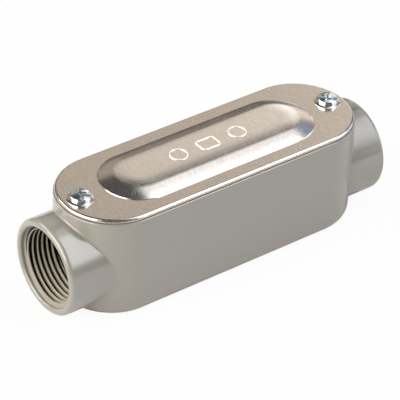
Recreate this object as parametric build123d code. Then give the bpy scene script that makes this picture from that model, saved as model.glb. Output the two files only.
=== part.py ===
from build123d import *
import math
import os

# Conduit body of the straight-through pattern: a die-cast housing with a threaded hub at
# each end, a gasket, a stamped cover and its two screws.
# Millimetres. X runs from hub to hub, Z is up, and the origin is the middle of the base.

# Cover, one sheet of even thickness
COVER_LENGTH = 135.3
COVER_WIDTH = 44.5
COVER_THICKNESS = 1.2
COVER_EDGE_RADIUS = 1.05
PILLOW_END_MARGIN = 18.5
PILLOW_SIDE_MARGIN = 6.4
PILLOW_CROWN_WIDTH = 5.8
PILLOW_CROWN_LEAN = math.radians(8)
PILLOW_BROW_WIDTH = 1.2
PILLOW_BROW_LEAN = math.radians(15)
PILLOW_SLOPE_WIDTH = 5.15
PILLOW_SLOPE_LEAN = math.radians(24)
PILLOW_STEP_HEIGHT = 0.28
PILLOW_STEP_WIDTH = 0.2
PILLOW_SHEET_WIDTH = 0.75

# Hubs, sized for one-inch tapered conduit thread
THREAD_WALL_RADIUS = 16.6
THREAD_DEPTH = 16.65
HUB_WALL = 3.2
HUB_PROJECTION = 8.8
HUB_BASE_CLEARANCE = 0.1
HUB_LIP_OUTER_RADIUS = 1.9
HUB_LIP_INNER_RADIUS = 1.2
HUB_ROOT_RADIUS = 0.8
THROAT_STEP = 3.4
THROAT_LENGTH = 3.4
THROAT_EDGE_RADIUS = 1.2

# Housing
HOUSING_LEDGE = 0.55
RIM_ABOVE_HUB = 4.6
WALL_THICKNESS = 3.0
FLOOR_THICKNESS = 3.0
BASE_EDGE_RADIUS = 4.4
RIM_EDGE_RADIUS = 0.55
CAVITY_FLOOR_RADIUS = 2.5

# Gasket
GASKET_THICKNESS = 0.5
GASKET_INSET = 0.7
GASKET_BAND_WIDTH = 3.2

# Plain raised outlines on the pillow
RING_RADIUS = 3.9
RING_OFFSET = 14.2
FRAME_LENGTH = 9.0
FRAME_WIDTH = 7.0
FRAME_CORNER_RADIUS = 1.6
OUTLINE_WIDTH = 0.7
OUTLINE_HEIGHT = 0.24
OUTLINE_CHAMFER = 0.2

# Cover screws, with their seats in the cover and their bosses in the housing
SCREW_END_INSET = 7.45
SCREW_SHANK_RADIUS = 2.05
SCREW_THREAD_CLEARANCE = 0.05
SCREW_HOLE_CLEARANCE = 0.35
SCREW_LENGTH = 7.6
SCREW_TIP_CHAMFER = 0.5
SCREW_HEAD_RADIUS = 4.1
SCREW_HEAD_SIDE_HEIGHT = 1.1
SCREW_HEAD_EDGE_RADIUS = 0.6
SCREW_CROWN_RADIUS = 12.0
CROSS_RECESS_SPAN = 4.6
CROSS_RECESS_WIDTH = 1.05
CROSS_RECESS_DEPTH = 1.3
DRIVER_SLOT_WIDTH = 0.95
DRIVER_SLOT_DEPTH = 0.85
LEFT_SCREW_TURN = 71.0
RIGHT_SCREW_TURN = 34.0
SEAT_MARGIN = 0.15
SEAT_RISE = 0.5
SEAT_SLOPE_WIDTH = 1.0
SEAT_STEP_HEIGHT = 0.14
SEAT_STEP_WIDTH = 0.12
SEAT_SHEET_WIDTH = 0.75
TAPPED_HOLE_TIP_GAP = 0.5
SCREW_BOSS_WALL = 3.1

# Sizes and places that follow from the ones above
HUB_OUTER_RADIUS = THREAD_WALL_RADIUS + HUB_WALL
THROAT_RADIUS = THREAD_WALL_RADIUS - THROAT_STEP
HOUSING_LENGTH = COVER_LENGTH + 2 * HOUSING_LEDGE
HOUSING_WIDTH = COVER_WIDTH + 2 * HOUSING_LEDGE
HUB_AXIS_HEIGHT = HUB_BASE_CLEARANCE + HUB_OUTER_RADIUS
HOUSING_HEIGHT = HUB_AXIS_HEIGHT + HUB_OUTER_RADIUS + RIM_ABOVE_HUB
HUB_FACE_X = HOUSING_LENGTH / 2 + HUB_PROJECTION
THREAD_END_X = HUB_FACE_X - THREAD_DEPTH
HUB_INNER_X = THREAD_END_X - THROAT_LENGTH
PILLOW_LENGTH = COVER_LENGTH - 2 * PILLOW_END_MARGIN
PILLOW_WIDTH = COVER_WIDTH - 2 * PILLOW_SIDE_MARGIN
PILLOW_ARCS = (
    (PILLOW_SLOPE_WIDTH, PILLOW_SLOPE_LEAN, PILLOW_BROW_LEAN),
    (PILLOW_BROW_WIDTH, PILLOW_BROW_LEAN, PILLOW_CROWN_LEAN),
    (PILLOW_CROWN_WIDTH, PILLOW_CROWN_LEAN, 0),
)
PILLOW_RISE = PILLOW_STEP_HEIGHT + sum(
    width * math.tan((outer + inner) / 2) for width, outer, inner in PILLOW_ARCS
)
GASKET_TOP = HOUSING_HEIGHT + GASKET_THICKNESS
COVER_TOP = GASKET_TOP + COVER_THICKNESS
SEAT_TOP = COVER_TOP + SEAT_RISE
SEAT_RADIUS = SCREW_HEAD_RADIUS + SEAT_MARGIN
SCREW_X = COVER_LENGTH / 2 - SCREW_END_INSET
SCREW_EDGE_CENTRE = SCREW_HEAD_RADIUS - SCREW_HEAD_EDGE_RADIUS
SCREW_CROWN_LEAN = math.asin(SCREW_EDGE_CENTRE / (SCREW_CROWN_RADIUS - SCREW_HEAD_EDGE_RADIUS))
SCREW_HEAD_HEIGHT = (
    SCREW_HEAD_SIDE_HEIGHT
    + SCREW_CROWN_RADIUS
    - SCREW_EDGE_CENTRE / math.tan(SCREW_CROWN_LEAN)
)
SCREW_HOLE_RADIUS = SCREW_SHANK_RADIUS + SCREW_HOLE_CLEARANCE
SCREW_BOSS_RADIUS = SCREW_SHANK_RADIUS + SCREW_BOSS_WALL


def obround(length, width, bottom, top):
    """Upright block whose plan has straight sides and round ends."""
    return Pos(0, 0, bottom) * extrude(SlotOverall(length, width), amount=top - bottom)


def end_rod(radius, bottom, top):
    """Upright cylinder on the +X screw's axis."""
    return Pos(SCREW_X, 0, bottom) * extrude(Circle(radius), amount=top - bottom)


def both_ends(shape):
    """The shape and its mirror image at the -X end."""
    return shape + mirror(shape, Plane.YZ)


def quarter_arc(start, middle, end):
    """Quarter circle from start to end round the given centre."""
    lean = math.sqrt(0.5)
    via = (
        middle[0] + lean * (start[0] - middle[0] + end[0] - middle[0]),
        middle[1] + lean * (start[1] - middle[1] + end[1] - middle[1]),
    )
    return ThreePointArc(start, via, end)


def hub_bore():
    """Space inside the +X hub: rounded mouth, thread wall and bushed throat."""
    lip = HUB_LIP_INNER_RADIUS
    edge = THROAT_EDGE_RADIUS
    outline = Polyline(
        (HUB_INNER_X, THROAT_RADIUS + edge),
        (HUB_INNER_X, 0),
        (HUB_FACE_X, 0),
        (HUB_FACE_X, THREAD_WALL_RADIUS + lip),
    )
    outline += quarter_arc(
        (HUB_FACE_X, THREAD_WALL_RADIUS + lip),
        (HUB_FACE_X - lip, THREAD_WALL_RADIUS + lip),
        (HUB_FACE_X - lip, THREAD_WALL_RADIUS),
    )
    outline += Polyline(
        (HUB_FACE_X - lip, THREAD_WALL_RADIUS),
        (THREAD_END_X, THREAD_WALL_RADIUS),
        (THREAD_END_X, THROAT_RADIUS + edge),
    )
    outline += quarter_arc(
        (THREAD_END_X, THROAT_RADIUS + edge),
        (THREAD_END_X - edge, THROAT_RADIUS + edge),
        (THREAD_END_X - edge, THROAT_RADIUS),
    )
    outline += Line((THREAD_END_X - edge, THROAT_RADIUS), (HUB_INNER_X + edge, THROAT_RADIUS))
    outline += quarter_arc(
        (HUB_INNER_X + edge, THROAT_RADIUS),
        (HUB_INNER_X + edge, THROAT_RADIUS + edge),
        (HUB_INNER_X, THROAT_RADIUS + edge),
    )
    return Pos(0, 0, HUB_AXIS_HEIGHT) * revolve(Plane.XZ * make_face(outline), Axis.X)


def hub(inner_x):
    """Outer form of the +X hub with its rounded lip, from inner_x to the face."""
    plane = Plane(origin=(inner_x, 0, HUB_AXIS_HEIGHT), x_dir=(0, 1, 0), z_dir=(1, 0, 0))
    rod = plane * extrude(Circle(HUB_OUTER_RADIUS), amount=HUB_FACE_X - inner_x)
    return fillet(rod.edges().group_by(Axis.X)[-1], HUB_LIP_OUTER_RADIUS)


def screw_boss():
    """Tapped boss at the +X end, from the top of the hub to the rim and the end wall."""
    foot = HUB_AXIS_HEIGHT + THREAD_WALL_RADIUS
    wall_middle_x = (HOUSING_LENGTH - WALL_THICKNESS) / 2
    web = Box(wall_middle_x - SCREW_X, 2 * SCREW_BOSS_RADIUS, HOUSING_HEIGHT - foot)
    web = Pos((wall_middle_x + SCREW_X) / 2, 0, (HOUSING_HEIGHT + foot) / 2) * web
    return web + end_rod(SCREW_BOSS_RADIUS, foot, HOUSING_HEIGHT)


def tapped_hole():
    """Blind screw hole at the +X end."""
    bottom = SEAT_TOP - SCREW_LENGTH - TAPPED_HOLE_TIP_GAP
    return end_rod(SCREW_SHANK_RADIUS + SCREW_THREAD_CLEARANCE, bottom, HOUSING_HEIGHT)


def housing():
    """One-piece casting: trough, two hubs with bushed throats and two screw bosses."""
    shell = obround(HOUSING_LENGTH, HOUSING_WIDTH, 0, HOUSING_HEIGHT)
    shell = fillet(shell.edges().group_by(Axis.Z)[0], BASE_EDGE_RADIUS)
    shell = fillet(shell.edges().group_by(Axis.Z)[-1], RIM_EDGE_RADIUS)
    cavity = obround(
        HOUSING_LENGTH - 2 * WALL_THICKNESS,
        HOUSING_WIDTH - 2 * WALL_THICKNESS,
        FLOOR_THICKNESS,
        HOUSING_HEIGHT,
    )
    cavity = fillet(cavity.edges().group_by(Axis.Z)[0], CAVITY_FLOOR_RADIUS)
    end_turn_x = (HOUSING_LENGTH - HOUSING_WIDTH) / 2
    casting = shell + both_ends(hub(end_turn_x))
    casting = fillet(casting.edges().filter_by(GeomType.BSPLINE), HUB_ROOT_RADIUS)
    casting -= cavity
    casting += both_ends(hub(HUB_INNER_X))
    casting += both_ends(screw_boss())
    casting -= both_ends(hub_bore())
    casting -= both_ends(tapped_hole())
    return casting


def gasket():
    """Flat ring under the cover, with an ear round each screw."""
    ring_length = COVER_LENGTH - 2 * GASKET_INSET
    ring_width = COVER_WIDTH - 2 * GASKET_INSET
    sheet = obround(ring_length, ring_width, HOUSING_HEIGHT, GASKET_TOP)
    window = obround(
        ring_length - 2 * GASKET_BAND_WIDTH,
        ring_width - 2 * GASKET_BAND_WIDTH,
        HOUSING_HEIGHT,
        GASKET_TOP,
    )
    ear = end_rod(SCREW_BOSS_RADIUS, HOUSING_HEIGHT, GASKET_TOP)
    hole = end_rod(SCREW_HOLE_RADIUS, HOUSING_HEIGHT, GASKET_TOP)
    return sheet - (window - both_ends(ear)) - both_ends(hole)


def pillow_section(inset, floor, base):
    """Half section of the pillow, set in at its foot: step, slope, brow, crown, flat top."""
    half_width = PILLOW_WIDTH / 2 - inset
    point = (half_width - PILLOW_STEP_WIDTH, base + PILLOW_STEP_HEIGHT)
    outline = Polyline((half_width, floor), (half_width, base), point)
    for width, outer, inner in PILLOW_ARCS:
        radius = width / (math.sin(outer) - math.sin(inner))
        middle = (outer + inner) / 2
        centre = (
            point[0] - radius * math.sin(outer),
            point[1] - radius * math.cos(outer),
        )
        via = (centre[0] + radius * math.sin(middle), centre[1] + radius * math.cos(middle))
        end = (centre[0] + radius * math.sin(inner), centre[1] + radius * math.cos(inner))
        outline += ThreePointArc(point, via, end)
        point = end
    outline += Polyline(point, (0, point[1]), (0, floor), (half_width, floor))
    return make_face(outline)


def pressed_pillow(inset, floor, base):
    """Solid from floor up to the pressed form: straight middle and turned ends."""
    straight = PILLOW_LENGTH - PILLOW_WIDTH
    section = pillow_section(inset, floor, base)
    turned = Rot(0, 0, -90) * revolve(Plane.XZ * section, Axis.Z, 180)
    across = Plane(origin=(-straight / 2, 0, 0), x_dir=(0, 1, 0), z_dir=(1, 0, 0))
    middle = extrude(across * (section + mirror(section, Plane.YZ)), amount=straight)
    return middle + both_ends(Pos(straight / 2, 0, 0) * turned)


def screw_seat():
    """Low seat that lifts the +X screw head off the sheet: small step, then a cone."""
    foot = SEAT_RADIUS + SEAT_SLOPE_WIDTH
    outline = Polyline(
        (0, 0),
        (foot + SEAT_STEP_WIDTH, 0),
        (foot, SEAT_STEP_HEIGHT),
        (SEAT_RADIUS, SEAT_RISE),
        (0, SEAT_RISE),
        (0, 0),
    )
    return Pos(SCREW_X, 0, COVER_TOP) * revolve(Plane.XZ * make_face(outline), Axis.Z)


def raised_outline(outer, inner):
    """Low ridge between two plan outlines, with its top edges chamfered."""
    ridge = extrude(outer - inner, amount=OUTLINE_HEIGHT)
    return chamfer(ridge.edges().group_by(Axis.Z)[-1], OUTLINE_CHAMFER)


def raised_outlines():
    """Two plain rings and a plain frame on the flat of the pillow."""
    ring = raised_outline(Circle(RING_RADIUS), Circle(RING_RADIUS - OUTLINE_WIDTH))
    frame = raised_outline(
        RectangleRounded(FRAME_LENGTH, FRAME_WIDTH, FRAME_CORNER_RADIUS),
        RectangleRounded(
            FRAME_LENGTH - 2 * OUTLINE_WIDTH,
            FRAME_WIDTH - 2 * OUTLINE_WIDTH,
            FRAME_CORNER_RADIUS - OUTLINE_WIDTH,
        ),
    )
    return Pos(0, 0, COVER_TOP + PILLOW_RISE) * (frame + both_ends(Pos(RING_OFFSET, 0, 0) * ring))


def cover():
    """Stamped sheet cover: rolled edge, hollow pillow, two screw seats with holes."""
    sheet = obround(COVER_LENGTH, COVER_WIDTH, GASKET_TOP, COVER_TOP)
    sheet = fillet(sheet.edges().group_by(Axis.Z)[-1], COVER_EDGE_RADIUS)
    sheet += pressed_pillow(0, GASKET_TOP, COVER_TOP)
    sheet += both_ends(screw_seat())
    sheet += raised_outlines()
    sheet -= pressed_pillow(PILLOW_SHEET_WIDTH, HOUSING_HEIGHT, GASKET_TOP)
    sheet -= both_ends(end_rod(SEAT_RADIUS - SEAT_SHEET_WIDTH, GASKET_TOP, GASKET_TOP + SEAT_RISE))
    sheet -= both_ends(end_rod(SCREW_HOLE_RADIUS, GASKET_TOP, SEAT_TOP))
    return sheet


def crown_point(lean):
    """Point of the head's crown whose normal leans by the given angle from the axis."""
    return (
        SCREW_CROWN_RADIUS * math.sin(lean),
        SCREW_HEAD_HEIGHT - SCREW_CROWN_RADIUS * (1 - math.cos(lean)),
    )


def cover_screw(x, turn):
    """Pan-head screw with a cross recess and a driver slot, turned about its axis."""
    edge_turn = (SCREW_CROWN_LEAN + math.pi / 2) / 2
    edge_middle = (
        SCREW_EDGE_CENTRE + SCREW_HEAD_EDGE_RADIUS * math.sin(edge_turn),
        SCREW_HEAD_SIDE_HEIGHT + SCREW_HEAD_EDGE_RADIUS * math.cos(edge_turn),
    )
    outline = Polyline(
        (0, SCREW_HEAD_HEIGHT),
        (0, -SCREW_LENGTH),
        (SCREW_SHANK_RADIUS - SCREW_TIP_CHAMFER, -SCREW_LENGTH),
        (SCREW_SHANK_RADIUS, SCREW_TIP_CHAMFER - SCREW_LENGTH),
        (SCREW_SHANK_RADIUS, 0),
        (SCREW_HEAD_RADIUS, 0),
        (SCREW_HEAD_RADIUS, SCREW_HEAD_SIDE_HEIGHT),
    )
    outline += ThreePointArc(
        (SCREW_HEAD_RADIUS, SCREW_HEAD_SIDE_HEIGHT),
        edge_middle,
        crown_point(SCREW_CROWN_LEAN),
    )
    outline += ThreePointArc(
        crown_point(SCREW_CROWN_LEAN),
        crown_point(SCREW_CROWN_LEAN / 2),
        crown_point(0),
    )
    body = revolve(Plane.XZ * make_face(outline), Axis.Z)
    arm = Box(CROSS_RECESS_SPAN, CROSS_RECESS_WIDTH, 2 * CROSS_RECESS_DEPTH)
    slot = Box(2 * SCREW_HEAD_RADIUS + SEAT_MARGIN, DRIVER_SLOT_WIDTH, 2 * DRIVER_SLOT_DEPTH)
    body -= Pos(0, 0, SCREW_HEAD_HEIGHT) * (arm + Rot(0, 0, 90) * arm + slot)
    return Pos(x, 0, SEAT_TOP) * Rot(0, 0, turn) * body


def main():
    """Write each piece to its own file."""
    pieces = {
        "housing": housing(),
        "gasket": gasket(),
        "cover": cover(),
        "cover_screw_left": cover_screw(-SCREW_X, LEFT_SCREW_TURN),
        "cover_screw_right": cover_screw(SCREW_X, RIGHT_SCREW_TURN),
    }
    os.makedirs("parts", exist_ok=True)
    for name, piece in pieces.items():
        export_step(piece, f"parts/{name}.step")


main()
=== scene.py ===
"""Finishes, thread turns, studio and camera for a straight-through conduit body.

Metres throughout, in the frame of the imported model: X runs from hub to hub, Z is up and
the origin is the middle of the base.
"""

import logging
import math
from dataclasses import dataclass
from dataclasses import field
from enum import Enum
from typing import Any

import bmesh
import bpy
from mathutils import Matrix
from mathutils import Vector


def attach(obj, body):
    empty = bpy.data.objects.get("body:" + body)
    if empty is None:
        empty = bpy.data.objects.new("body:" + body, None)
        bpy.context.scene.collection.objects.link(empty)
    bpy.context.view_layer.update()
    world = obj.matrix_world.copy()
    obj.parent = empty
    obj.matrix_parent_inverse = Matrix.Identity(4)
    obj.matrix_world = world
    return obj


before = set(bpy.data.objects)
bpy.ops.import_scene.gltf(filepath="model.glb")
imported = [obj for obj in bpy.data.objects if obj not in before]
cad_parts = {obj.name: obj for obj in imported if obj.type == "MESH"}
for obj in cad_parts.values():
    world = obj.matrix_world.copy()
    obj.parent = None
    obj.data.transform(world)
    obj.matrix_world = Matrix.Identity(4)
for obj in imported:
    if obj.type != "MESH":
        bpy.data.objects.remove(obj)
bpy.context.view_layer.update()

Colour = tuple[float, float, float]
Point = tuple[float, float, float]
Socket = Any

MM = 0.001
WHITE: Colour = (1.0, 1.0, 1.0)

# The height of the hubs' axis over the base and the radius of their plain wall, in millimetres.
AXIS_HEIGHT = 19.9
WALL_RADIUS = 16.6

log = logging.getLogger("conduit_body")


class Slot(Enum):
    """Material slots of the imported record."""

    PAINT = "housing_paint"
    RUBBER = "gasket_rubber"
    SHEET = "cover_sheet"
    ZINC = "screw_zinc"


class End(Enum):
    """The two ends of the body, by the sign of their X."""

    LEFT = -1
    RIGHT = 1


# Node graphs

# The sockets that a Mix node shows when it mixes colours: factor, first and second colour.
COLOUR_MIX_INPUTS = (0, 6, 7)
COLOUR_MIX_OUTPUT = 2


class Graph:
    """Short calls for building one node tree."""

    def __init__(self, tree: bpy.types.NodeTree) -> None:
        """Wrap a tree.

        Args:
            tree: The node tree that the calls add to.
        """
        self.tree = tree

    def add(self, kind: str, **settings: Any) -> bpy.types.Node:
        """Add a node.

        Args:
            kind: The node's type name, without the ShaderNode prefix.
            **settings: Attributes to set on it.

        Returns:
            The new node.
        """
        node = self.tree.nodes.new("ShaderNode" + kind)
        for name, value in settings.items():
            setattr(node, name, value)
        return node

    def feed(self, socket: Socket, value: Any) -> None:
        """Link an output socket to an input, or write a plain value on it.

        Args:
            socket: The input.
            value: An output socket, a number, a colour or a vector.
        """
        if isinstance(value, bpy.types.NodeSocket):
            self.tree.links.new(value, socket)
        elif socket.type == "RGBA" and len(value) == 3:
            socket.default_value = (*value, 1.0)
        else:
            socket.default_value = value

    def math(self, operation: str, *values: Any) -> Socket:
        """Add a Math node.

        Args:
            operation: The node's operation.
            *values: Up to three numbers or sockets.

        Returns:
            The result.
        """
        node = self.add("Math", operation=operation)
        for socket, value in zip(node.inputs, values):
            self.feed(socket, value)
        return node.outputs[0]

    def vector(self, operation: str, *values: Any, output: str = "Vector") -> Socket:
        """Add a Vector Math node.

        Args:
            operation: The node's operation.
            *values: Up to three vectors or sockets.
            output: The output to return, Vector or Value.

        Returns:
            The result.
        """
        node = self.add("VectorMath", operation=operation)
        for socket, value in zip(node.inputs, values):
            self.feed(socket, value)
        return node.outputs[output]

    def scaled(self, vector: Socket, scale: Any) -> Socket:
        """Multiply a vector by a number.

        Args:
            vector: The vector.
            scale: The number.

        Returns:
            The longer or shorter vector.
        """
        node = self.add("VectorMath", operation="SCALE")
        self.feed(node.inputs[0], vector)
        self.feed(node.inputs["Scale"], scale)
        return node.outputs[0]

    def span(self, value: Any, start: Any, end: Any, low: Any = 0.0, high: Any = 1.0) -> Socket:
        """Map a value smoothly from one range to another.

        Args:
            value: The number to map.
            start: The value that gives low.
            end: The value that gives high.
            low: The result at start.
            high: The result at end.

        Returns:
            The mapped number, held at the ends.
        """
        node = self.add("MapRange", interpolation_type="SMOOTHSTEP")
        for socket, number in zip(node.inputs, (value, start, end, low, high)):
            self.feed(socket, number)
        return node.outputs[0]

    def noise(self, vector: Socket, scale: Any, detail: float = 2.0) -> Socket:
        """Add a Noise texture.

        Args:
            vector: The place to read it at.
            scale: Its features per millimetre.
            detail: Its octaves.

        Returns:
            The value, about 0.5 on average.
        """
        node = self.add("TexNoise")
        self.feed(node.inputs["Vector"], vector)
        self.feed(node.inputs["Scale"], scale)
        node.inputs["Detail"].default_value = detail
        return node.outputs["Fac"]

    def blend(self, factor: Any, first: Any, second: Any, mode: str = "MIX") -> Socket:
        """Return two colours mixed.

        Args:
            factor: The share of the second colour.
            first: The colour at factor 0.
            second: The colour at factor 1.
            mode: The Mix node's blend mode.

        Returns:
            The mixed colour.
        """
        node = self.add("Mix", data_type="RGBA", blend_type=mode)
        for index, value in zip(COLOUR_MIX_INPUTS, (factor, first, second)):
            self.feed(node.inputs[index], value)
        return node.outputs[COLOUR_MIX_OUTPUT]

    def split(self, vector: Socket) -> tuple[Socket, Socket, Socket]:
        """Take a vector apart.

        Args:
            vector: The vector.

        Returns:
            Its X, Y and Z.
        """
        node = self.add("SeparateXYZ")
        self.feed(node.inputs[0], vector)
        return node.outputs[0], node.outputs[1], node.outputs[2]

    def effect(self, tree: bpy.types.NodeTree, **inputs: Any) -> bpy.types.Node:
        """Place a shared effect.

        Args:
            tree: The effect's node group.
            **inputs: Its inputs, with underscores for the spaces in their names.

        Returns:
            The group node.
        """
        node = self.add("Group", node_tree=tree)
        for name, value in inputs.items():
            self.feed(node.inputs[name.replace("_", " ")], value)
        return node


@dataclass(frozen=True)
class Port:
    """One input or output of an effect."""

    name: str
    kind: str = "Float"
    default: Any = None


@dataclass
class Effect:
    """A shader node group while it is being built."""

    name: str
    inputs: list[Port]
    outputs: list[Port]
    tree: bpy.types.NodeTree = field(init=False)
    graph: Graph = field(init=False)
    given: bpy.types.Node = field(init=False)
    result: bpy.types.Node = field(init=False)

    def __post_init__(self) -> None:
        """Make the group with its sockets and its end nodes."""
        self.tree = bpy.data.node_groups.new(self.name, "ShaderNodeTree")
        for direction, ports in (("INPUT", self.inputs), ("OUTPUT", self.outputs)):
            for port in ports:
                socket = self.tree.interface.new_socket(
                    port.name, in_out=direction, socket_type="NodeSocket" + port.kind
                )
                if port.default is not None:
                    socket.default_value = port.default
        self.graph = Graph(self.tree)
        self.given = self.tree.nodes.new("NodeGroupInput")
        self.result = self.tree.nodes.new("NodeGroupOutput")

    def get(self, name: str) -> Socket:
        """Return the socket that carries an input inside the group."""
        return self.given.outputs[name]

    def give(self, name: str, value: Socket) -> None:
        """Send a value to one of the group's outputs."""
        self.graph.feed(self.result.inputs[name], value)


class Effects:
    """The shared effects, each built once."""

    def __init__(self) -> None:
        """Build every effect."""
        self.grain = self._grain()
        self.stroke = self._stroke()
        self.specks = self._specks()
        self.mottle = self._mottle()

    @staticmethod
    def _grain() -> bpy.types.NodeTree:
        """Build fine grain drawn out along one direction, as rolling leaves it.

        Returns:
            The node group.
        """
        made = Effect(
            "Rolled grain",
            [
                Port("Point", "Vector"),
                Port("Stretch", "Vector", (1.0, 0.2, 1.0)),
                Port("Lines Per Millimetre", "Float", 3.0),
            ],
            [Port("Line"), Port("Sparkle")],
        )
        graph = made.graph
        low, high = 0.3, 0.7
        drawn = graph.vector("MULTIPLY", made.get("Point"), made.get("Stretch"))
        scale = made.get("Lines Per Millimetre")
        made.give("Line", graph.span(graph.noise(drawn, scale, 3.0), low, high))
        finer = graph.math("MULTIPLY", scale, 1.4)
        made.give("Sparkle", graph.span(graph.noise(made.get("Point"), finer, 1.0), low, high))
        return made.tree

    @staticmethod
    def _stroke() -> bpy.types.NodeTree:
        """Build a mark along a straight line, such as one scratch, chip or smear.

        Returns:
            The node group.
        """
        made = Effect(
            "Stroke mark",
            [
                Port("Point", "Vector"),
                Port("Start", "Vector"),
                Port("End", "Vector"),
                Port("Half Width", "Float", 0.1),
                Port("Raggedness", "Float", 0.3),
            ],
            [Port("Mask")],
        )
        graph = made.graph
        along = graph.vector("SUBTRACT", made.get("End"), made.get("Start"))
        offset = graph.vector("SUBTRACT", made.get("Point"), made.get("Start"))
        reach = graph.vector("DOT_PRODUCT", offset, along, output="Value")
        square = graph.vector("DOT_PRODUCT", along, along, output="Value")
        share = graph.math("DIVIDE", reach, graph.math("MAXIMUM", square, 1e-6))
        share = graph.math("MINIMUM", graph.math("MAXIMUM", share, 0.0), 1.0)
        foot = graph.scaled(along, share)
        distance = graph.vector("DISTANCE", offset, foot, output="Value")
        ragged = graph.math("SUBTRACT", graph.noise(made.get("Point"), 2.5, 3.0), 0.5)
        ragged = graph.math("MULTIPLY", ragged, made.get("Raggedness"))
        distance = graph.math("ADD", distance, ragged)
        made.give("Mask", graph.span(distance, made.get("Half Width"), 0.0))
        return made.tree

    @staticmethod
    def _specks() -> bpy.types.NodeTree:
        """Build scattered round specks.

        Returns:
            The node group.
        """
        made = Effect(
            "Scattered specks",
            [
                Port("Point", "Vector"),
                Port("Spacing", "Float", 4.0),
                Port("Radius", "Float", 0.15),
                Port("Share", "Float", 0.3),
            ],
            [Port("Mask")],
        )
        graph = made.graph
        cells = graph.add("TexVoronoi", feature="F1")
        per = graph.math("DIVIDE", 1.0, made.get("Spacing"))
        graph.feed(cells.inputs["Vector"], made.get("Point"))
        graph.feed(cells.inputs["Scale"], per)
        near = graph.math("MULTIPLY", cells.outputs["Distance"], made.get("Spacing"))
        dot = graph.span(near, made.get("Radius"), 0.0)
        draw = graph.add("SeparateColor")
        graph.feed(draw.inputs[0], cells.outputs["Color"])
        chosen = graph.math("LESS_THAN", draw.outputs[0], made.get("Share"))
        made.give("Mask", graph.math("MULTIPLY", dot, chosen))
        return made.tree

    @staticmethod
    def _mottle() -> bpy.types.NodeTree:
        """Build slow unevenness of tone with soft handling smears in it.

        Returns:
            The node group.
        """
        made = Effect(
            "Slow mottle",
            [Port("Point", "Vector"), Port("Patch Size", "Float", 20.0)],
            [Port("Tone"), Port("Smear")],
        )
        graph = made.graph
        per = graph.math("DIVIDE", 1.0, made.get("Patch Size"))
        made.give("Tone", graph.noise(made.get("Point"), per, 3.0))
        elsewhere = (31.0, 7.0, 3.0)
        moved = graph.vector("ADD", made.get("Point"), elsewhere)
        finer = graph.math("MULTIPLY", per, 2.3)
        made.give("Smear", graph.span(graph.noise(moved, finer, 4.0), 0.52, 0.72))
        return made.tree


# Finishes


@dataclass(frozen=True)
class Stroke:
    """A scratch or chip on a surface, in millimetres."""

    start: Point
    end: Point
    half_width: float
    raggedness: float = 0.1


def new_material(name: str) -> tuple[bpy.types.Material, Graph, bpy.types.Node]:
    """Make a material with one Principled shader.

    Args:
        name: The material's name.

    Returns:
        The material, its graph and the shader.
    """
    material = bpy.data.materials.new(name)
    material.use_nodes = True
    material.node_tree.nodes.clear()
    graph = Graph(material.node_tree)
    shader = graph.add("BsdfPrincipled")
    output = graph.add("OutputMaterial")
    graph.feed(output.inputs["Surface"], shader.outputs[0])
    return material, graph, shader


def point_in_millimetres(graph: Graph) -> Socket:
    """Return the surface point in the object's own millimetres."""
    place = graph.add("TexCoord")
    return graph.scaled(place.outputs["Object"], 1.0 / MM)


def from_bore_axis(graph: Graph, point: Socket, axis_height: float) -> tuple[Socket, Socket]:
    """Measure a point from the axis that both hubs share.

    Args:
        graph: The material's graph.
        point: The surface point in millimetres.
        axis_height: The axis's height over the base.

    Returns:
        The point's offset from the axis and its distance from it.
    """
    offset = graph.vector("SUBTRACT", point, (0.0, 0.0, axis_height))
    across = graph.vector("MULTIPLY", offset, (0.0, 1.0, 1.0))
    return offset, graph.vector("LENGTH", across, output="Value")


def add_bump(graph: Graph, shader: bpy.types.Node, height: Socket, millimetres: float) -> None:
    """Give a shader a bump.

    Args:
        graph: The material's graph.
        shader: The shader that takes the normal.
        height: The height, from 0 to 1.
        millimetres: The real height that 1 stands for.
    """
    bump = graph.add("Bump")
    bump.inputs["Strength"].default_value = 1.0
    bump.inputs["Distance"].default_value = millimetres * MM
    graph.feed(bump.inputs["Height"], height)
    graph.feed(shader.inputs["Normal"], bump.outputs[0])


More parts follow.
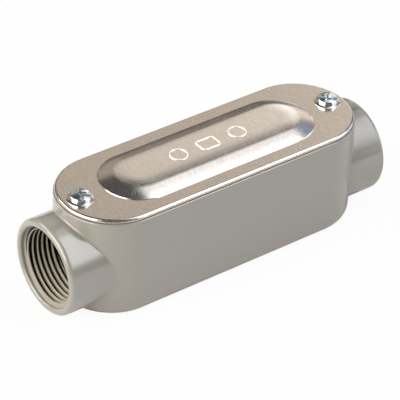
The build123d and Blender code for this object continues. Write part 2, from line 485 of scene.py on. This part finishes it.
@dataclass(frozen=True)
class GlossPaint:
    """Gloss warm-grey paint over a casting, with near-black in its tapped bores that stands for dark
    tapped metal and for painted shade.

    The tapped walls run from bore_start to bore_end, which are distances along X from the middle of
    the body, in millimetres. The throats behind them are painted a paler warm beige, a painted light
    where they lie in shade.
    """

    effects: Effects
    name: str = "Gloss grey paint"
    colour: Colour = (0.314, 0.295, 0.257)
    cool_colour: Colour = (0.302, 0.289, 0.259)
    speck_colour: Colour = (0.70, 0.69, 0.64)
    # Near-black for the tapped bore walls: dark tapped metal, with painted shade in the grooves and
    # deep in the bore.
    dark_metal_and_shade_colour: Colour = (0.012, 0.012, 0.013)
    # Pale warm beige on the throats: painted light, where the bore lies in shade.
    painted_light_throat_colour: Colour = (0.50, 0.42, 0.30)
    axis_height: float = AXIS_HEIGHT
    bore_radius: float = WALL_RADIUS
    bore_start: float = 74.6
    bore_end: float = 61.0
    edge_softness: float = 0.1
    roughness: float = 0.20
    smear_roughness: float = 0.05
    tapped_roughness: float = 0.60
    specular: float = 0.9
    coat: float = 0.6
    coat_roughness: float = 0.10
    peel_per_millimetre: float = 0.55
    peel_height: float = 0.012

    def tone(self, graph: Graph, point: Socket) -> tuple[Socket, Socket]:
        """Build the paint's colour.

        Args:
            graph: The material's graph.
            point: The surface point in millimetres.

        Returns:
            The colour and the mask of the specks in it.
        """
        mottle = graph.effect(self.effects.mottle, Point=point, Patch_Size=26.0)
        specks = graph.effect(self.effects.specks, Point=point, Spacing=7.0, Radius=0.22, Share=0.10)
        colour = graph.blend(mottle.outputs["Tone"], self.colour, self.cool_colour)
        colour = graph.blend(specks.outputs["Mask"], colour, self.speck_colour)
        return colour, specks.outputs["Mask"]

    def material(self) -> bpy.types.Material:
        """Build the material.

        Returns:
            The material.
        """
        material, graph, shader = new_material(self.name)
        point = point_in_millimetres(graph)
        colour, specks = self.tone(graph, point)
        tapped, throat = self._bore(graph, point)
        # The throat gets the paler beige, a painted light in the shaded bore.
        colour = graph.blend(throat, colour, self.painted_light_throat_colour)
        # The tapped wall is made near-black here: dark metal, partly painted shade.
        graph.feed(shader.inputs["Base Color"], graph.blend(tapped, colour, self.dark_metal_and_shade_colour))
        mottle = graph.effect(self.effects.mottle, Point=point, Patch_Size=14.0)
        smear = graph.math("MULTIPLY", mottle.outputs["Smear"], self.smear_roughness)
        rough = graph.math("ADD", smear, self.roughness)
        rougher = graph.math("MULTIPLY", tapped, self.tapped_roughness - self.roughness)
        graph.feed(shader.inputs["Roughness"], graph.math("ADD", rough, rougher))
        shader.inputs["Specular IOR Level"].default_value = self.specular
        graph.feed(shader.inputs["Coat Weight"], graph.span(tapped, 0.0, 1.0, self.coat, 0.0))
        shader.inputs["Coat Roughness"].default_value = self.coat_roughness
        peel = graph.noise(point, self.peel_per_millimetre)
        peel = graph.math("ADD", peel, graph.math("MULTIPLY", specks, 0.6))
        add_bump(graph, shader, peel, self.peel_height)
        return material

    def _bore(self, graph: Graph, point: Socket) -> tuple[Socket, Socket]:
        """Mask the inside of the hubs.

        Args:
            graph: The material's graph.
            point: The surface point in millimetres.

        Returns:
            The mask of the tapped wall and that of the throat behind it.
        """
        offset, radius = from_bore_axis(graph, point, self.axis_height)
        inside = graph.span(radius, self.bore_radius + 0.35, self.bore_radius + 0.15)
        reach = graph.math("ABSOLUTE", graph.split(offset)[0])
        outer = self.bore_start + self.edge_softness
        inner = self.bore_start - self.edge_softness
        inside = graph.math("MULTIPLY", inside, graph.span(reach, outer, inner))
        deep = graph.span(reach, self.bore_end, self.bore_end - 0.4)
        tapped = graph.math("MULTIPLY", inside, graph.math("SUBTRACT", 1.0, deep))
        return tapped, graph.math("MULTIPLY", inside, deep)


@dataclass(frozen=True)
class TappedPaint:
    """The same paint on thread crests, paler as a painted highlight, with near-black between them for
    dark tapped metal and painted shade.

    The paint ends at a radius. That is bottom_edge at the bottom of the bore and top_edge from the
    axis up, so more of each turn is painted at the bottom: painted light, pale on the lit lower flanks
    and dark on the shaded upper ones.
    """

    paint: GlossPaint
    bottom_edge: float
    top_edge: float
    name: str = "Painted crests and dark grooves"
    # Paler beige on the crests, a painted highlight where light catches them.
    crest_highlight_colour: Colour = (0.50, 0.455, 0.34)
    crest_share: float = 0.6
    bottom_height: float = -16.0
    edge_wander: float = 0.25
    edge_fade: float = 0.28
    painted_roughness: float = 0.3
    groove_roughness: float = 0.55
    cut_height: float = 0.03

    def material(self) -> bpy.types.Material:
        """Build the material.

        Returns:
            The material.
        """
        material, graph, shader = new_material(self.name)
        point = point_in_millimetres(graph)
        offset, radius = from_bore_axis(graph, point, self.paint.axis_height)
        wander = graph.math("SUBTRACT", graph.noise(point, 0.9, 3.0), 0.5)
        radius = graph.math("ADD", radius, graph.math("MULTIPLY", wander, self.edge_wander))
        along, _, height = graph.split(offset)
        # The paint edge is graded by height: painted light, with lit flanks pale at the bottom and
        # shaded ones dark at the top.
        edge = graph.span(height, self.bottom_height, 0.0, self.bottom_edge, self.top_edge)
        dark_metal_and_shade = graph.span(radius, edge, graph.math("ADD", edge, self.edge_fade))
        reach = graph.math("ABSOLUTE", along)
        inner = self.paint.bore_start - self.paint.edge_softness
        outer = self.paint.bore_start + self.paint.edge_softness
        mouth = graph.span(reach, inner, outer)
        dark_metal_and_shade = graph.math("MULTIPLY", dark_metal_and_shade, graph.math("SUBTRACT", 1.0, mouth))
        painted, _ = self.paint.tone(graph, point)
        # The crests take the paler beige, a painted highlight, but not at the mouth.
        share = graph.span(mouth, 0.0, 1.0, self.crest_share, 0.0)
        painted = graph.blend(share, painted, self.crest_highlight_colour)
        # Between the crests the near-black stands for dark tapped metal and painted shade.
        colour = graph.blend(dark_metal_and_shade, painted, self.paint.dark_metal_and_shade_colour)
        graph.feed(shader.inputs["Base Color"], colour)
        rough = graph.span(dark_metal_and_shade, 0.0, 1.0, self.painted_roughness, self.groove_roughness)
        graph.feed(shader.inputs["Roughness"], rough)
        add_bump(graph, shader, graph.noise(point, 1.6, 3.0), self.cut_height)
        return material


@dataclass(frozen=True)
class RolledSheet:
    """Half-bright rolled aluminium sheet with handling scratches.

    The pillow's crown is painted near-white over one span of heights, a painted highlight, and its low
    ridges are rougher over another. The heights are in millimetres over the base, and the pits' depth
    is in heights of the grain. Each roughness but the first is added where its mask is full.
    """

    effects: Effects
    scratches: tuple[Stroke, ...]
    pits: tuple[Stroke, ...]
    name: str = "Rolled aluminium sheet"
    colour: Colour = (0.72, 0.665, 0.60)
    pale_colour: Colour = (0.78, 0.73, 0.665)
    # Near-white over the crown and its ridges: a painted highlight on the top of the pillow.
    crown_highlight_colour: Colour = (1.00, 0.955, 0.89)
    scratch_colour: Colour = (0.95, 0.93, 0.90)
    pit_colour: Colour = (0.05, 0.05, 0.07)
    highlight_start: float = 48.1
    highlight_end: float = 48.55
    ridge_start: float = 48.80
    ridge_end: float = 48.88
    lines_per_millimetre: float = 1.5
    darkest_tone: float = 0.89
    line_tone: float = 0.10
    sparkle_tone: float = 0.12
    scratch_share: float = 0.5
    pit_share: float = 0.85
    roughness: float = 0.18
    sparkle_roughness: float = 0.06
    smear_roughness: float = 0.04
    scratch_roughness: float = 0.2
    ridge_roughness: float = 0.5
    grain_height: float = 0.008
    pit_depth: float = 8.0

    def material(self) -> bpy.types.Material:
        """Build the material.

        Returns:
            The material.
        """
        material, graph, shader = new_material(self.name)
        point = point_in_millimetres(graph)
        flat_point = graph.vector("MULTIPLY", point, (1.0, 1.0, 0.0))
        grain = graph.effect(
            self.effects.grain, Point=point, Lines_Per_Millimetre=self.lines_per_millimetre
        )
        line, sparkle = grain.outputs["Line"], grain.outputs["Sparkle"]
        mottle = graph.effect(self.effects.mottle, Point=point, Patch_Size=30.0)
        colour = graph.blend(mottle.outputs["Tone"], self.colour, self.pale_colour)
        crown_highlight = self._above(graph, point, self.highlight_start, self.highlight_end)
        ridge = self._above(graph, point, self.ridge_start, self.ridge_end)
        # Everything above a height is made near-white, a painted highlight on the pillow's top.
        colour = graph.blend(crown_highlight, colour, self.crown_highlight_colour)
        tone = graph.math("ADD", graph.math("MULTIPLY", line, self.line_tone), self.darkest_tone)
        tone = graph.math("ADD", tone, graph.math("MULTIPLY", sparkle, self.sparkle_tone))
        colour = graph.blend(1.0, colour, self._grey(graph, tone), "MULTIPLY")
        scratched = self._marks(graph, flat_point, self.scratches)
        pitted = self._marks(graph, flat_point, self.pits)
        worn = graph.math("MULTIPLY", scratched, self.scratch_share)
        colour = graph.blend(worn, colour, self.scratch_colour)
        dark = graph.math("MULTIPLY", pitted, self.pit_share)
        graph.feed(shader.inputs["Base Color"], graph.blend(dark, colour, self.pit_colour))
        shader.inputs["Metallic"].default_value = 1.0
        rough = graph.math("MULTIPLY", sparkle, self.sparkle_roughness)
        for mask, share in (
            (mottle.outputs["Smear"], self.smear_roughness),
            (scratched, self.scratch_roughness),
            (ridge, self.ridge_roughness),
        ):
            rough = graph.math("ADD", rough, graph.math("MULTIPLY", mask, share))
        graph.feed(shader.inputs["Roughness"], graph.math("ADD", rough, self.roughness))
        height = graph.math("MULTIPLY", line, 0.5)
        height = graph.math("ADD", height, graph.math("MULTIPLY", sparkle, 0.5))
        height = graph.math("SUBTRACT", height, graph.math("MULTIPLY", pitted, self.pit_depth))
        add_bump(graph, shader, height, self.grain_height)
        return material

    @staticmethod
    def _above(graph: Graph, point: Socket, start: float, end: float) -> Socket:
        """Return the mask of what lies above a height, rising from start to end."""
        return graph.span(graph.split(point)[2], start, end)

    @staticmethod
    def _grey(graph: Graph, value: Socket) -> Socket:
        """Make a grey colour.

        Args:
            graph: The material's graph.
            value: The colour's three parts.

        Returns:
            The colour.
        """
        node = graph.add("CombineColor")
        for socket in node.inputs:
            graph.feed(socket, value)
        return node.outputs[0]

    def _marks(self, graph: Graph, point: Socket, strokes: tuple[Stroke, ...]) -> Socket:
        """Join several strokes into one mask.

        Args:
            graph: The material's graph.
            point: The surface point in millimetres, seen from above.
            strokes: The marks.

        Returns:
            The mask that covers all of them.
        """
        total: Any = 0.0
        for stroke in strokes:
            mark = graph.effect(
                self.effects.stroke,
                Point=point,
                Start=stroke.start,
                End=stroke.end,
                Half_Width=stroke.half_width,
                Raggedness=stroke.raggedness,
            )
            total = graph.math("MAXIMUM", total, mark.outputs["Mask"])
        return total


@dataclass(frozen=True)
class BrightZinc:
    """Bright zinc plate on steel."""

    effects: Effects
    name: str = "Bright zinc plate"
    colour: Colour = (0.77, 0.84, 0.88)
    stain_colour: Colour = (0.48, 0.60, 0.62)
    roughness: float = 0.12
    added_roughness: float = 0.1
    ripple_per_millimetre: float = 1.5
    ripple_height: float = 0.012

    def material(self) -> bpy.types.Material:
        """Build the material.

        Returns:
            The material.
        """
        material, graph, shader = new_material(self.name)
        point = point_in_millimetres(graph)
        mottle = graph.effect(self.effects.mottle, Point=point, Patch_Size=2.5)
        colour = graph.blend(mottle.outputs["Smear"], self.colour, self.stain_colour)
        graph.feed(shader.inputs["Base Color"], colour)
        shader.inputs["Metallic"].default_value = 1.0
        rough = graph.math("MULTIPLY", mottle.outputs["Tone"], self.added_roughness)
        graph.feed(shader.inputs["Roughness"], graph.math("ADD", rough, self.roughness))
        ripple = graph.noise(point, self.ripple_per_millimetre)
        add_bump(graph, shader, ripple, self.ripple_height)
        return material


@dataclass(frozen=True)
class DarkRubber:
    """Dark brown-black sheet rubber, cut with a knife."""

    effects: Effects
    name: str = "Dark sheet rubber"
    colour: Colour = (0.045, 0.036, 0.028)
    dusty_colour: Colour = (0.10, 0.085, 0.065)
    roughness: float = 0.6
    pore_per_millimetre: float = 4.0
    pore_depth: float = 0.02

    def material(self) -> bpy.types.Material:
        """Build the material.

        Returns:
            The material.
        """
        material, graph, shader = new_material(self.name)
        point = point_in_millimetres(graph)
        mottle = graph.effect(self.effects.mottle, Point=point, Patch_Size=5.0)
        colour = graph.blend(mottle.outputs["Smear"], self.colour, self.dusty_colour)
        graph.feed(shader.inputs["Base Color"], colour)
        shader.inputs["Roughness"].default_value = self.roughness
        pores = graph.noise(point, self.pore_per_millimetre, 3.0)
        add_bump(graph, shader, pores, self.pore_depth)
        return material


# Pieces


def dress(piece: bpy.types.Object, material: bpy.types.Material) -> None:
    """Put one material on every face of a piece, in each of its slots.

    Args:
        piece: The piece.
        material: The material.
    """
    if not piece.data.materials:
        piece.data.materials.append(material)
    for slot in piece.material_slots:
        slot.material = material


@dataclass
class ConduitThread:
    """Turns of the tapered conduit thread on the wall of one hub.

    Depths run inward from the hub's face, and all sizes are in millimetres but the shares of
    the pitch that a crest's and a root's half take up.
    """

    end: End
    material: bpy.types.Material
    face_distance: float = 77.0
    axis_height: float = AXIS_HEIGHT
    wall_radius: float = WALL_RADIUS
    wall_gap: float = 0.02
    crest_radius: float = 14.95
    pitch: float = 25.4 / 11.5
    first_crest: float = 2.99
    start_depth: float = 1.50
    end_depth: float = 16.60
    lead_in: float = 0.6
    lead_out: float = 1.6
    crest_share: float = 0.13
    root_share: float = 0.08
    steps_per_turn: int = 144

    def build(self) -> bpy.types.Object:
        """Build the thread as one strip wound along its helix.

        Returns:
            The piece.
        """
        section = self._section()
        spare_turns = 2
        turns = math.ceil((self.end_depth - self.start_depth) / self.pitch) + spare_turns
        first = self.first_crest - self.pitch * spare_turns
        rows = turns * self.steps_per_turn
        points: list[Point] = []
        depths: list[float] = []
        for row in range(rows + self.steps_per_turn + 1):
            angle = 2 * math.pi * row / self.steps_per_turn
            base = first + self.pitch * row / self.steps_per_turn
            for along, rise in section:
                depth = min(max(base + along * self.pitch, self.start_depth), self.end_depth)
                points.append(self._place(depth, angle, rise))
                depths.append(base + along * self.pitch)
        mesh = bpy.data.meshes.new(f"thread_{self.end.name.lower()}")
        mesh.from_pydata(points, [], self._faces(rows, len(section), depths))
        return self._finish(mesh)

    def _section(self) -> list[tuple[float, float]]:
        """Draw one turn's outline, from one crest to the next.

        Returns:
            The points as (share of the pitch, share of the height).
        """
        crest_drop = 0.07
        root_rise = 0.02
        shoulder = 1.0 - crest_drop
        outline = []
        for share in (0.0, 0.45, 0.8, 1.0):
            outline.append((self.crest_share * share, 1.0 - crest_drop * share * share))
        for share in (0.12, 0.35, 0.65, 0.9):
            along = self.crest_share + (0.5 - self.root_share - self.crest_share) * share
            outline.append((along, shoulder - shoulder * share + root_rise))
        outline.append((0.5 - self.root_share * 0.6, root_rise))
        outline.append((0.5, 0.0))
        back = [(1.0 - along, rise) for along, rise in reversed(outline[1:-1])]
        return outline + back

    def _place(self, depth: float, angle: float, rise: float) -> Point:
        """Place one point of the thread.

        Args:
            depth: Its depth in the hub.
            angle: Its angle round the axis, in radians.
            rise: Its share of the thread's height over the wall.

        Returns:
            The point in metres.
        """
        grow = min(max((depth - self.start_depth) / self.lead_in, 0.0), 1.0)
        fade = min(max((self.end_depth - depth) / self.lead_out, 0.0), 1.0)
        height = (self.wall_radius - self.crest_radius) * rise * grow * fade
        radius = self.wall_radius - self.wall_gap - height
        side = self.end.value
        x = side * (self.face_distance - depth)
        y = -side * radius * math.cos(angle)
        z = self.axis_height + radius * math.sin(angle)
        return (x * MM, y * MM, z * MM)

    def _faces(self, rows: int, width: int, depths: list[float]) -> list[tuple[int, ...]]:
        """Join the points into quads, without those that lie past either end.

        Args:
            rows: The steps along the helix.
            width: The points across one turn.
            depths: Each point's depth before it is held to the ends.

        Returns:
            The faces, as point numbers.
        """
        faces = []
        for row in range(rows):
            for column in range(width):
                here = row * width + column
                beside = here + 1
                if column == width - 1:
                    beside = (row + self.steps_per_turn) * width
                quad = (here, here + width, beside + width, beside)
                if all(depths[i] <= self.start_depth for i in quad):
                    continue
                if all(depths[i] >= self.end_depth for i in quad):
                    continue
                faces.append(quad)
        return faces

    def _finish(self, mesh: bpy.types.Mesh) -> bpy.types.Object:
        """Clean the mesh, turn it to face the axis and hang it on the body.

        Args:
            mesh: The strip.

        Returns:
            The piece.
        """
        work = bmesh.new()
        work.from_mesh(mesh)
        loose = [vertex for vertex in work.verts if not vertex.link_faces]
        bmesh.ops.delete(work, geom=loose, context="VERTS")
        bmesh.ops.dissolve_degenerate(work, dist=1e-7, edges=work.edges)
        centre = Vector((0.0, 0.0, self.axis_height * MM))
        for face in work.faces:
            face.smooth = True
            middle = face.calc_center_median()
            inward = centre - Vector((0.0, middle.y, middle.z))
            if face.normal.dot(inward) < 0.0:
                face.normal_flip()
        work.to_mesh(mesh)
        work.free()
        piece = bpy.data.objects.new(mesh.name, mesh)
        bpy.context.scene.collection.objects.link(piece)
        dress(piece, self.material)
        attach(piece, "root")
        return piece


@dataclass
class Casting:
    """The painted housing with the thread turns in its two hubs."""

    effects: Effects
    # Where the thread's paint ends, further out at the bottom: painted light on the lit lower flanks.
    bottom_edge: float = 15.95
    top_edge: float = 15.10
    paint: GlossPaint = field(init=False)

    def __post_init__(self) -> None:
        """Choose the paint."""
        self.paint = GlossPaint(self.effects)

    def dress_node(self) -> None:
        """Paint the housing."""
        dress(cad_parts["housing"], self.paint.material())

    def build_threads(self) -> list[bpy.types.Object]:
        """Build the thread turns in both hubs.

        Returns:
            The two pieces.
        """
        material = TappedPaint(self.paint, self.bottom_edge, self.top_edge).material()
        return [ConduitThread(end, material).build() for end in End]


@dataclass
class CoverPlate:
    """The stamped cover, its gasket and its two screws.

    The marks on the sheet are placed in millimetres, seen from above.
    """

    effects: Effects
    scratches: tuple[Stroke, ...] = (
        Stroke((-57.5, 14.4, 0.0), (-59.6, 8.0, 0.0), 0.16),
        Stroke((52.1, 17.3, 0.0), (48.9, 13.3, 0.0), 0.20),
        Stroke((35.7, 9.6, 0.0), (25.8, 3.3, 0.0), 0.16),
        Stroke((-15.9, 22.0, 0.0), (-15.0, 19.6, 0.0), 0.16),
    )
    pits: tuple[Stroke, ...] = (
        Stroke((-42.7, -9.7, 0.0), (-42.6, -9.9, 0.0), 0.45),
        Stroke((-41.8, -10.3, 0.0), (-41.7, -10.4, 0.0), 0.35),
        Stroke((-57.4, -20.2, 0.0), (-56.4, -20.7, 0.0), 0.55),
    )

    def dress_nodes(self) -> None:
        """Finish the cover, the gasket and the screws."""
        sheet = RolledSheet(self.effects, self.scratches, self.pits)
        dress(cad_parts["cover"], sheet.material())
        dress(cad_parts["gasket"], DarkRubber(self.effects).material())
        zinc = BrightZinc(self.effects).material()
        for end in End:
            dress(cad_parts[f"cover_screw_{end.name.lower()}"], zinc)


# Studio


@dataclass(frozen=True)
class Panel:
    """A soft panel far from the object, given by the directions of its four corners.

    Its edge is half the width over which it fades, as the sine of an angle.
    """

    name: str
    corners: tuple[Point, Point, Point, Point]
    edge: float
    radiance: Colour

    def edge_normals(self) -> list[Vector]:
        """Find the planes through the panel's edges.

        Returns:
            Their normals, which point into the panel.
        """
        corners = [Vector(corner).normalized() for corner in self.corners]
        middle = sum(corners, Vector())
        normals = []
        for here, following in zip(corners, corners[1:] + corners[:1]):
            normal = here.cross(following).normalized()
            normals.append(normal if normal.dot(middle) > 0.0 else -normal)
        return normals


@dataclass
class Studio:
    """Floor, world and camera.

    The panels are laid over each other in this order. The camera's place is in metres, and
    its directions are those that the photograph was fitted with.
    """

    base_radiance: Colour = (0.082, 0.080, 0.084)
    floor_colour: Colour = (0.80, 0.80, 0.80)
    floor_white_share: float = 0.95
    floor_size: float = 0.8
    lens_length: float = 215.30
    sensor_width: float = 36.0
    camera_place: Point = (-0.476083, -0.603233, 0.580634)
    camera_right: Point = (0.80296893, -0.59479294, 0.03823951)
    camera_up: Point = (0.32581622, 0.49176384, 0.80747267)
    camera_back: Point = (-0.49908384, -0.63591641, 0.58866427)
    panels: tuple[Panel, ...] = (
        Panel(
            "front left",
            ((-0.42, -0.64, 0.64), (0.12, -0.72, 0.68), (0.16, -0.98, 0.08), (-0.70, -0.71, 0.06)),
            0.06,
            (0.22, 0.22, 0.24),
        ),
        Panel(
            "left",
            ((-0.50, -0.22, 0.84), (-0.56, 0.56, 0.60), (-0.82, 0.54, 0.06), (-0.92, -0.38, 0.06)),
            0.06,
            (4.90, 4.65, 4.20),
        ),
        Panel(
            "left window",
            ((-0.88, -0.20, 0.43), (-0.84, -0.33, 0.43), (-0.90, -0.40, 0.15), (-0.95, -0.25, 0.15)),
            0.03,
            (12.00, 11.80, 11.20),
        ),
        Panel(
            "right",
            ((0.62, -0.05, 0.78), (0.82, -0.05, 0.57), (0.80, -0.60, 0.06), (0.56, -0.82, 0.08)),
            0.06,
            (1.90, 1.93, 2.02),
        ),
        Panel(
            "right room",
            ((0.60, 0.42, 0.68), (0.60, 0.00, 0.80), (0.93, 0.00, 0.37), (0.86, 0.36, 0.36)),
            0.05,
            (0.25, 0.31, 0.47),
        ),
        Panel(
            "key skirt",
            ((0.24, 0.35, 0.90), (0.60, 0.34, 0.72), (0.60, -0.10, 0.79), (0.24, -0.10, 0.96)),
            0.08,
            (1.25, 1.25, 1.29),
        ),
        Panel(
            "key",
            ((0.30, 0.03, 0.954), (0.565, 0.03, 0.824), (0.475, -0.83, 0.27), (0.28, -0.92, 0.27)),
            0.11,
            (4.15, 4.19, 4.30),
        ),
        Panel(
            "low right",
            ((0.78, -0.58, 0.30), (0.97, 0.05, 0.22), (0.99, 0.06, 0.02), (0.75, -0.66, 0.02)),
            0.04,
            (1.90, 2.00, 2.10),
        ),
        Panel(
            "back",
            ((0.42, 0.55, 0.72), (0.87, 0.38, 0.32), (0.78, 0.62, 0.08), (0.20, 0.82, 0.54)),
            0.09,
            (0.62, 0.55, 0.485),
        ),
        Panel(
            "back right",
            ((0.57, 0.53, 0.63), (0.93, 0.33, 0.15), (0.80, 0.60, 0.03), (0.57, 0.79, 0.22)),
            0.10,
            (1.05, 0.96, 0.88),
        ),
        Panel(
            "back spot",
            ((0.62, 0.66, 0.42), (0.72, 0.62, 0.31), (0.74, 0.67, 0.07), (0.63, 0.74, 0.24)),
            0.03,
            (1.45, 1.45, 1.48),
        ),
        Panel(
            "top fringe",
            ((-0.15, 0.90, 0.41), (0.16, 0.76, 0.63), (0.45, 0.80, 0.40), (0.52, 0.85, 0.03)),
            0.08,
            (0.46, 0.41, 0.36),
        ),
        Panel(
            "lip light",
            ((-0.34, 0.80, 0.50), (-0.56, 0.60, 0.58), (-0.66, 0.64, 0.42), (-0.42, 0.85, 0.32)),
            0.03,
            (9.00, 9.30, 9.70),
        ),
    )

    def build_floor(self) -> bpy.types.Object:
        """Build the plain floor.

        Returns:
            The floor.
        """
        half = self.floor_size / 2
        mesh = bpy.data.meshes.new("floor")
        corners = [(-half, -half, 0.0), (half, -half, 0.0), (half, half, 0.0), (-half, half, 0.0)]
        mesh.from_pydata(corners, [], [(0, 1, 2, 3)])
        floor = bpy.data.objects.new("floor", mesh)
        bpy.context.scene.collection.objects.link(floor)
        mesh.materials.append(self._floor_material())
        return floor

    def _floor_material(self) -> bpy.types.Material:
        """Build a pale floor that shows as white and keeps a faint shadow.

        Returns:
            The material.
        """
        material = bpy.data.materials.new("Pale floor")
        material.use_nodes = True
        material.node_tree.nodes.clear()
        graph = Graph(material.node_tree)
        matt = graph.add("BsdfDiffuse")
        graph.feed(matt.inputs["Color"], self.floor_colour)
        white = graph.add("Emission")
        path = graph.add("LightPath")
        share = graph.math("MULTIPLY", path.outputs["Is Camera Ray"], self.floor_white_share)
        mix = graph.add("MixShader")
        graph.feed(mix.inputs[0], share)
        graph.feed(mix.inputs[1], matt.outputs[0])
        graph.feed(mix.inputs[2], white.outputs[0])
        output = graph.add("OutputMaterial")
        graph.feed(output.inputs["Surface"], mix.outputs[0])
        return material

    @staticmethod
    def _panel_effect() -> bpy.types.NodeTree:
        """Build the mask of one soft-edged panel in the world.

        Returns:
            The node group.
        """
        made = Effect(
            "Soft panel",
            [
                Port("Direction", "Vector"),
                Port("First Edge", "Vector"),
                Port("Second Edge", "Vector"),
                Port("Third Edge", "Vector"),
                Port("Fourth Edge", "Vector"),
                Port("Softness"),
            ],
            [Port("Mask")],
        )
        graph = made.graph
        outer = graph.math("MULTIPLY", made.get("Softness"), -1.0)
        total: Any = 1.0
        for name in ("First Edge", "Second Edge", "Third Edge", "Fourth Edge"):
            inside = graph.vector("DOT_PRODUCT", made.get("Direction"), made.get(name), output="Value")
            side = graph.span(inside, outer, made.get("Softness"))
            total = graph.math("MULTIPLY", total, side)
        made.give("Mask", total)
        return made.tree

    def build_world(self) -> None:
        """Build the world: white to the camera, soft panels on a dim room to all else."""
        world = bpy.data.worlds.new("studio")
        bpy.context.scene.world = world
        world.use_nodes = True
        world.node_tree.nodes.clear()
        graph = Graph(world.node_tree)
        place = graph.add("TexCoord")
        direction = graph.vector("NORMALIZE", place.outputs["Generated"])
        effect = self._panel_effect()
        colour: Any = self.base_radiance
        for panel in self.panels:
            first, second, third, fourth = (tuple(normal) for normal in panel.edge_normals())
            mask = graph.effect(
                effect,
                Direction=direction,
                First_Edge=first,
                Second_Edge=second,
                Third_Edge=third,
                Fourth_Edge=fourth,
                Softness=panel.edge,
            )
            colour = graph.blend(mask.outputs["Mask"], colour, panel.radiance)
        path = graph.add("LightPath")
        seen = graph.blend(path.outputs["Is Camera Ray"], colour, WHITE)
        background = graph.add("Background")
        graph.feed(background.inputs["Color"], seen)
        output = graph.add("OutputWorld")
        graph.feed(output.inputs["Surface"], background.outputs[0])

    def build_camera(self) -> bpy.types.Object:
        """Build the camera at the photograph's place and angle.

        Returns:
            The camera.
        """
        lens = bpy.data.cameras.new("camera")
        lens.lens = self.lens_length
        lens.sensor_width = self.sensor_width
        lens.clip_start = 0.01
        lens.clip_end = 50.0
        camera = bpy.data.objects.new("camera", lens)
        bpy.context.scene.collection.objects.link(camera)
        axes = (self.camera_right, self.camera_up, self.camera_back)
        turn = Matrix(axes).transposed().to_4x4()
        camera.matrix_world = Matrix.Translation(self.camera_place) @ turn
        bpy.context.scene.camera = camera
        return camera


def main() -> None:
    """Build every sub-assembly in order."""
    logging.basicConfig(level=logging.INFO, format="%(name)s: %(message)s")
    bpy.context.scene.view_settings.view_transform = "Standard"
    effects = Effects()
    studio = Studio()
    studio.build_camera()
    studio.build_floor()
    studio.build_world()
    casting = Casting(effects)
    casting.dress_node()
    for piece in casting.build_threads():
        log.info("%s: %d faces", piece.name, len(piece.data.polygons))
    CoverPlate(effects).dress_nodes()


if __name__ == "__main__":
    main()
